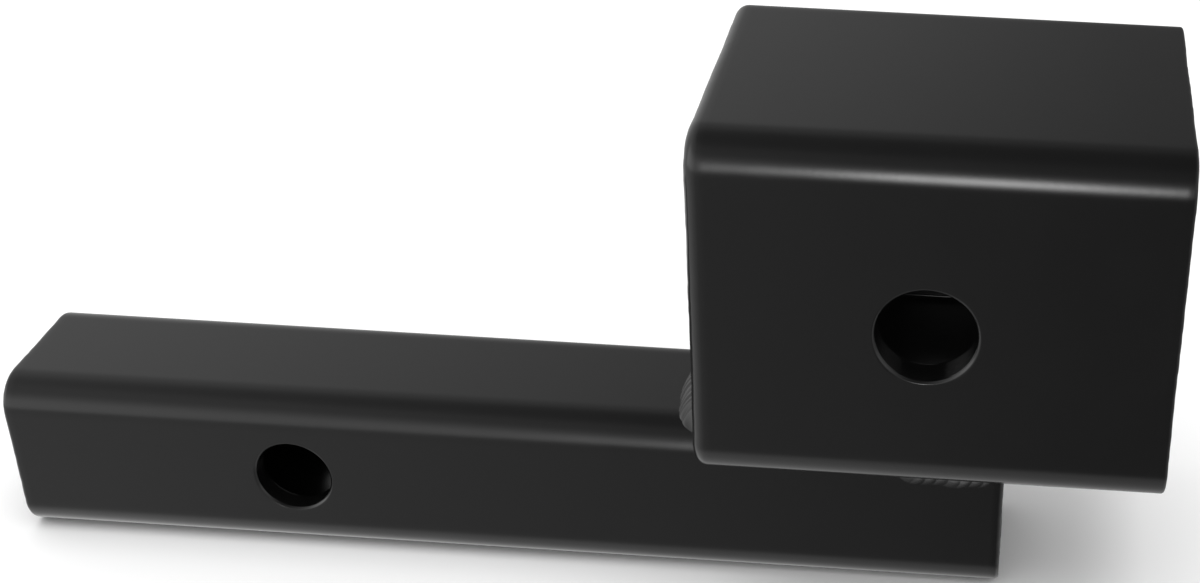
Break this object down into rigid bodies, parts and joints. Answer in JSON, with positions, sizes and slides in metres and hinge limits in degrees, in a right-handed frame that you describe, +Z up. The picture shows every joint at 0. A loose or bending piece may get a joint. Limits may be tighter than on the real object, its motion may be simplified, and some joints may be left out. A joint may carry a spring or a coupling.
{
  "type": "hitch receiver adapter",
  "caption": "Welded steel adapter: a narrow square shank with a pin hole carries a short, wider square receiver tube, cross-drilled for its own pin, on top of its end.",
  "frame": {"origin": "centre of the pin hole through the shank tube, on the axis of the hole and midway between the shank's sides", "axes": "+X runs along the shank from its free end towards the receiver tube, +Y runs along both pin holes, +Z points up from the shank to the receiver tube"},
  "size_m": [0.209, 0.0636, 0.0953],
  "materials": {
    "black_paint_shank": "semi-gloss black paint on drawn tube, with pits, fine scratches and dust specks",
    "black_paint_receiver": "semi-gloss black paint on drawn tube, with paint chipped to bright steel at the ends and at the pin hole",
    "black_paint_weld": "glossy black paint over rippled weld beads"
  },
  "bodies": {
    "root": {"shank_tube": "black_paint_shank", "receiver_tube": "black_paint_receiver", "front_end_weld": "black_paint_weld", "rear_end_weld": "black_paint_weld", "near_side_weld": "black_paint_weld", "far_side_weld": "black_paint_weld"}
  },
  "joints": []
}
